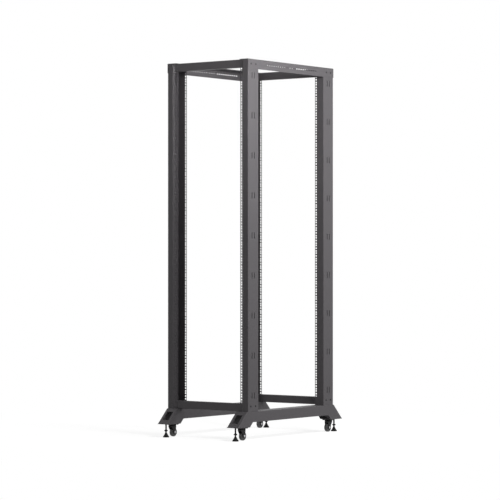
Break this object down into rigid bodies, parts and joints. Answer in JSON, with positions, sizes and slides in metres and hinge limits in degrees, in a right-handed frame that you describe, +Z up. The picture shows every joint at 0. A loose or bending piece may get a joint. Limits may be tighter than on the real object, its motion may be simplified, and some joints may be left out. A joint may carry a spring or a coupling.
{
  "type": "four post open frame rack",
  "caption": "Open frame equipment rack: perforated folded posts on channel runners with sloped feet, swivel castors and levelling feet.",
  "frame": {"origin": "on the floor under the middle of the rack", "axes": "+X to the rack's right side, +Y from front to rear, +Z up along the posts"},
  "size_m": [0.574, 1.012, 2.1178],
  "materials": {
    "post_paint": "satin",
    "beam_paint": "satin",
    "base_paint": "satin",
    "plated_steel": "satin",
    "fork_steel": "satin",
    "foot_black": "satin",
    "wheel_polymer": "satin"
  },
  "bodies": {
    "frame": {"post_front_left": "post_paint", "post_front_right": "post_paint", "post_rear_left": "post_paint", "post_rear_right": "post_paint", "bottom_beam_front": "beam_paint", "bottom_beam_rear": "beam_paint", "top_beam_front": "beam_paint", "top_beam_rear": "beam_paint", "top_beam_left": "beam_paint", "top_beam_right": "beam_paint", "base_beam_left": "base_paint", "base_beam_right": "base_paint", "foot_plate_front_left": "base_paint", "castor_plate_front_left": "plated_steel", "foot_plate_rear_left": "base_paint", "castor_plate_rear_left": "plated_steel", "foot_plate_front_right": "base_paint", "castor_plate_front_right": "plated_steel", "foot_plate_rear_right": "base_paint", "castor_plate_rear_right": "plated_steel"},
    "levelling_foot_front_left": {"levelling_foot_front_left": "foot_black"},
    "castor_fork_front_left": {"castor_fork_front_left": "fork_steel"},
    "castor_wheel_front_left": {"castor_wheel_front_left": "wheel_polymer"},
    "levelling_foot_rear_left": {"levelling_foot_rear_left": "foot_black"},
    "castor_fork_rear_left": {"castor_fork_rear_left": "fork_steel"},
    "castor_wheel_rear_left": {"castor_wheel_rear_left": "wheel_polymer"},
    "levelling_foot_front_right": {"levelling_foot_front_right": "foot_black"},
    "castor_fork_front_right": {"castor_fork_front_right": "fork_steel"},
    "castor_wheel_front_right": {"castor_wheel_front_right": "wheel_polymer"},
    "levelling_foot_rear_right": {"levelling_foot_rear_right": "foot_black"},
    "castor_fork_rear_right": {"castor_fork_rear_right": "fork_steel"},
    "castor_wheel_rear_right": {"castor_wheel_rear_right": "wheel_polymer"}
  },
  "joints": [
    {"name": "levelling_foot_front_left_screw", "type": "slide", "parent": "frame", "child": "levelling_foot_front_left", "axis": [0, 0, 1], "range_m": [0, 0.006]},
    {"name": "castor_swivel_front_left", "type": "hinge", "parent": "frame", "child": "castor_fork_front_left", "pos_m": [-0.2465, -0.42, 0.065], "axis": [0, 0, 1], "continuous": true},
    {"name": "castor_wheel_front_left_spin", "type": "hinge", "parent": "castor_fork_front_left", "child": "castor_wheel_front_left", "pos_m": [-0.2465, -0.412, 0.026], "axis": [1, 0, 0], "continuous": true},
    {"name": "levelling_foot_rear_left_screw", "type": "slide", "parent": "frame", "child": "levelling_foot_rear_left", "axis": [0, 0, 1], "range_m": [0, 0.006]},
    {"name": "castor_swivel_rear_left", "type": "hinge", "parent": "frame", "child": "castor_fork_rear_left", "pos_m": [-0.2465, 0.42, 0.065], "axis": [0, 0, 1], "continuous": true},
    {"name": "castor_wheel_rear_left_spin", "type": "hinge", "parent": "castor_fork_rear_left", "child": "castor_wheel_rear_left", "pos_m": [-0.2465, 0.412, 0.026], "axis": [1, 0, 0], "continuous": true},
    {"name": "levelling_foot_front_right_screw", "type": "slide", "parent": "frame", "child": "levelling_foot_front_right", "axis": [0, 0, 1], "range_m": [0, 0.006]},
    {"name": "castor_swivel_front_right", "type": "hinge", "parent": "frame", "child": "castor_fork_front_right", "pos_m": [0.2465, -0.42, 0.065], "axis": [0, 0, 1], "continuous": true},
    {"name": "castor_wheel_front_right_spin", "type": "hinge", "parent": "castor_fork_front_right", "child": "castor_wheel_front_right", "pos_m": [0.2465, -0.412, 0.026], "axis": [1, 0, 0], "continuous": true},
    {"name": "levelling_foot_rear_right_screw", "type": "slide", "parent": "frame", "child": "levelling_foot_rear_right", "axis": [0, 0, 1], "range_m": [0, 0.006]},
    {"name": "castor_swivel_rear_right", "type": "hinge", "parent": "frame", "child": "castor_fork_rear_right", "pos_m": [0.2465, 0.42, 0.065], "axis": [0, 0, 1], "continuous": true},
    {"name": "castor_wheel_rear_right_spin", "type": "hinge", "parent": "castor_fork_rear_right", "child": "castor_wheel_rear_right", "pos_m": [0.2465, 0.412, 0.026], "axis": [1, 0, 0], "continuous": true}
  ]
}
